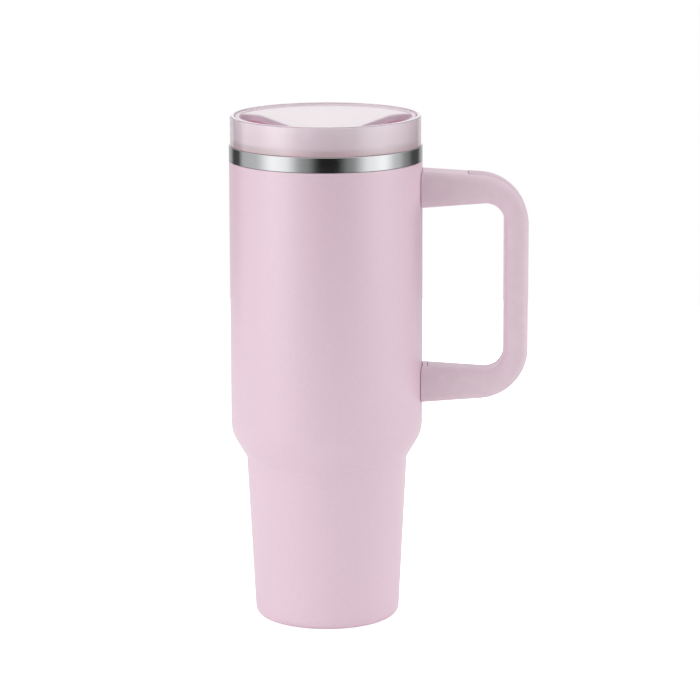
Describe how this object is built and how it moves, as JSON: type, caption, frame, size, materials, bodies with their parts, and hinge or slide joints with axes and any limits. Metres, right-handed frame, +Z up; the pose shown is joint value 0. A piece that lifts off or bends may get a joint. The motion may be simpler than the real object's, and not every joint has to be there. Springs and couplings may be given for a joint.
{
  "type": "insulated tumbler with lid",
  "caption": "Vacuum-walled steel tumbler with a narrow lower cup, a side handle, and a clear push-in lid whose cover turns to open a drinking slot or a straw hole.",
  "frame": {"origin": "centre of the foot pad's underside, on the cup's axis", "axes": "+Z up along the cup's axis, +X towards the handle, -Y towards the drinking slot's side"},
  "size_m": [0.1549, 0.1004, 0.266],
  "materials": {
    "powder_coat": "satin powder coat with a very fine texture",
    "polished_steel": "bright stainless steel, fine-turned",
    "solder_glass": "fused solder glass",
    "getter_metal": "sintered, matt",
    "handle_plastic": "moulded with a fine spark texture",
    "soft_grip": "soft-touch elastomer",
    "clear_tint": "clear moulding with a pale tint, polished",
    "silicone": "moulded silicone, matt",
    "pad_rubber": "moulded silicone, matt"
  },
  "bodies": {
    "cup": {"outer_shell": "powder_coat", "inner_liner": "polished_steel", "shell_bottom": "polished_steel", "seal_bead": "solder_glass", "getter": "getter_metal", "getter_clip": "polished_steel", "base_cap": "polished_steel", "foot_pad": "pad_rubber", "handle_frame": "handle_plastic", "grip_outer": "soft_grip", "grip_inner": "soft_grip", "bracket_upper": "polished_steel", "bracket_lower": "polished_steel", "screw_upper": "polished_steel", "screw_lower": "polished_steel"},
    "lid": {"lid_body": "clear_tint", "lid_gasket": "silicone", "straw_grommet": "silicone", "stem_o_ring": "silicone"},
    "cover": {"cover_top": "clear_tint", "cover_base": "clear_tint", "cover_seal": "silicone", "stem_clip": "clear_tint"}
  },
  "joints": [
    {"name": "lid_lift", "type": "slide", "parent": "cup", "child": "lid", "axis": [0, 0, 1], "range_m": [0, 0.04]},
    {"name": "cover_turn", "type": "hinge", "parent": "lid", "child": "cover", "pos_m": [0, 0, 0.256], "axis": [0, 0, 1], "range_deg": [-50, 50]}
  ]
}
